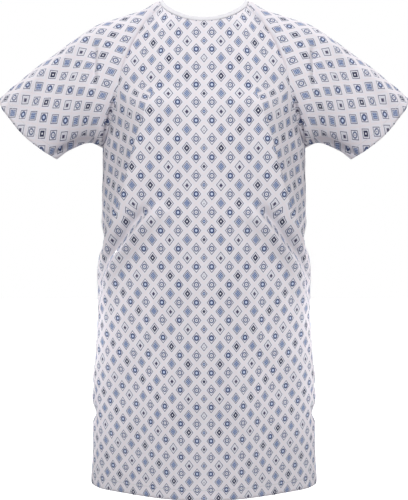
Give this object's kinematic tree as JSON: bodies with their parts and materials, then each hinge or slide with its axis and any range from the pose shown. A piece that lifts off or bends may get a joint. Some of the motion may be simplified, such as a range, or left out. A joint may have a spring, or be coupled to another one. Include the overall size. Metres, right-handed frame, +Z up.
{
  "type": "patient gown",
  "caption": "Short raglan-sleeve patient gown with a bound round neck and a printed diamond pattern, open down the back and closed by tape ties.",
  "frame": {"origin": "on the centre line at the height of the neck's side points, where the wearer's shoulders hold the gown", "axes": "+Z up along the body, -Y is the front of the gown, +X is the wearer's left"},
  "size_m": [0.971, 0.3727, 1.1344],
  "materials": {
    "printed_cotton": "matt plain-weave cotton and polyester, printed with small blue and grey diamonds",
    "plain_cotton": "matt folded tape of unprinted cloth",
    "overlock_thread": "matt overlocked seam allowance"
  },
  "bodies": {
    "shoulders": {"front_panel": "printed_cotton", "front_hem": "printed_cotton", "neck_binding": "plain_cotton", "back_panel_upper_left": "printed_cotton", "back_edge_hem_upper_left": "printed_cotton", "sleeve_upper_left": "printed_cotton", "raglan_seam_front_left": "overlock_thread", "raglan_seam_back_left": "overlock_thread", "side_seam_left": "overlock_thread", "neck_tie_left": "plain_cotton", "back_panel_upper_right": "printed_cotton", "back_edge_hem_upper_right": "printed_cotton", "sleeve_upper_right": "printed_cotton", "raglan_seam_front_right": "overlock_thread", "raglan_seam_back_right": "overlock_thread", "side_seam_right": "overlock_thread", "neck_tie_right": "plain_cotton"},
    "back_flap_left": {"back_panel_lower_left": "printed_cotton", "back_edge_hem_lower_left": "printed_cotton", "back_hem_left": "printed_cotton", "waist_tie_left": "plain_cotton"},
    "sleeve_left": {"sleeve_lower_left": "printed_cotton", "sleeve_hem_left": "printed_cotton"},
    "back_flap_right": {"back_panel_lower_right": "printed_cotton", "back_edge_hem_lower_right": "printed_cotton", "back_hem_right": "printed_cotton", "waist_tie_right": "plain_cotton"},
    "sleeve_right": {"sleeve_lower_right": "printed_cotton", "sleeve_hem_right": "printed_cotton"}
  },
  "joints": [
    {"name": "back_flap_left_open", "type": "hinge", "parent": "shoulders", "child": "back_flap_left", "pos_m": [0.239, 0, -0.353], "axis": [0.0332, 0, -0.9994], "range_deg": [0, 100]},
    {"name": "back_flap_right_open", "type": "hinge", "parent": "shoulders", "child": "back_flap_right", "pos_m": [-0.239, 0, -0.353], "axis": [0.0332, 0, 0.9994], "range_deg": [0, 100]},
    {"name": "sleeve_left_lift", "type": "hinge", "parent": "shoulders", "child": "sleeve_left", "pos_m": [0.24, 0, -0.205], "axis": [0, -1, 0], "range_deg": [0, 30]},
    {"name": "sleeve_right_lift", "type": "hinge", "parent": "shoulders", "child": "sleeve_right", "pos_m": [-0.24, 0, -0.205], "axis": [0, 1, 0], "range_deg": [0, 30]}
  ]
}
